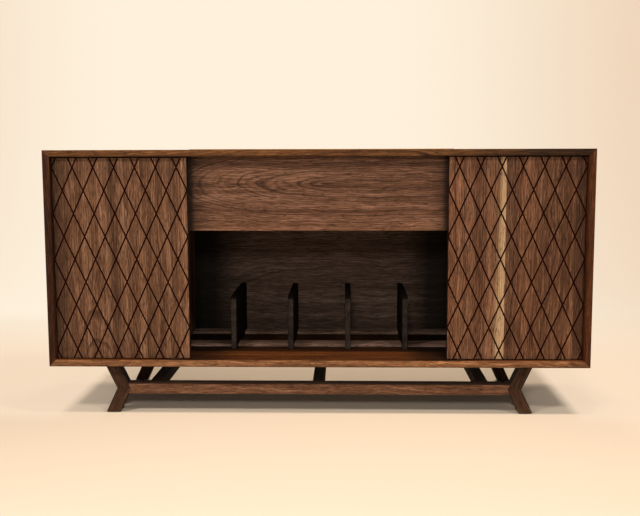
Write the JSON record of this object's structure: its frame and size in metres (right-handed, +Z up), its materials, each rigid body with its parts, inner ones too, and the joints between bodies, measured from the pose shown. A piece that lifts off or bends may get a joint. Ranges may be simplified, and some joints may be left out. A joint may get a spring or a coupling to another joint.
{
  "type": "record player console",
  "caption": "Low walnut media console with sliding lattice-grooved doors, a lidded record player well, an open record rack and a Y-ended base.",
  "frame": {"origin": "on the floor, under the middle of the case", "axes": "+X to the right along the front, -Y out of the front, +Z up"},
  "size_m": [1.524, 0.457, 0.7508],
  "materials": {
    "walnut_case": "oiled walnut, satin",
    "walnut_doors": "oiled walnut, satin",
    "walnut_inside": "oiled walnut, satin",
    "walnut_base": "oiled walnut, satin",
    "plywood": "raw birch plywood",
    "beech": "raw beech",
    "felt": "pressed wool felt",
    "brass": "drawn brass",
    "steel": "zinc-plated steel",
    "nylon": "moulded nylon",
    "black_plastic": "moulded black plastic"
  },
  "bodies": {
    "console": {"case_top": "walnut_case", "case_bottom": "walnut_case", "case_side_left": "walnut_case", "case_side_right": "walnut_case", "centre_panel": "walnut_case", "partition_left": "walnut_inside", "partition_right": "walnut_inside", "record_player_shelf": "walnut_inside", "back_panel": "walnut_inside", "side_shelf_left": "walnut_inside", "side_shelf_right": "walnut_inside", "rack_slat_front": "walnut_inside", "rack_slat_rear": "walnut_inside", "record_divider_1": "walnut_inside", "record_divider_2": "walnut_inside", "record_divider_3": "walnut_inside", "record_divider_4": "walnut_inside", "track_stops": "walnut_inside", "base_stretcher_front": "walnut_base", "base_stretcher_rear": "walnut_base", "base_arm_front_left": "walnut_base", "base_arm_front_right": "walnut_base", "base_arm_rear_left": "walnut_base", "base_arm_rear_right": "walnut_base", "base_leg_front_left": "walnut_base", "base_leg_front_right": "walnut_base", "base_leg_rear_left": "walnut_base", "base_leg_rear_right": "walnut_base", "base_rail_left": "walnut_base", "base_rail_centre": "walnut_base", "base_rail_right": "walnut_base", "mitre_splines": "plywood", "base_dowels": "beech", "lid_felt_pads": "felt", "door_felt_pads": "felt", "lid_hinge_case_leaf": "brass", "case_leaf_screws": "brass", "threaded_inserts": "brass", "lid_hinge_pin": "steel", "back_screws": "steel", "floor_screws": "steel", "base_bolts": "steel", "shelf_pins": "steel", "cable_grommets": "black_plastic", "foot_pads": "black_plastic"},
    "left_door": {"left_door": "walnut_doors", "left_door_glides": "nylon"},
    "right_door": {"right_door": "walnut_doors", "right_door_glides": "nylon"},
    "lid": {"lid": "walnut_case", "lid_hinge_lid_leaf": "brass", "lid_leaf_screws": "brass"}
  },
  "joints": [
    {"name": "left_door_slide", "type": "slide", "parent": "console", "child": "left_door", "axis": [1, 0, 0], "range_m": [0, 0.3624]},
    {"name": "right_door_slide", "type": "slide", "parent": "console", "child": "right_door", "axis": [-1, 0, 0], "range_m": [0, 0.3624]},
    {"name": "lid_hinge", "type": "hinge", "parent": "console", "child": "lid", "pos_m": [0, 0.177, 0.7483], "axis": [-1, 0, 0], "range_deg": [0, 85]}
  ]
}
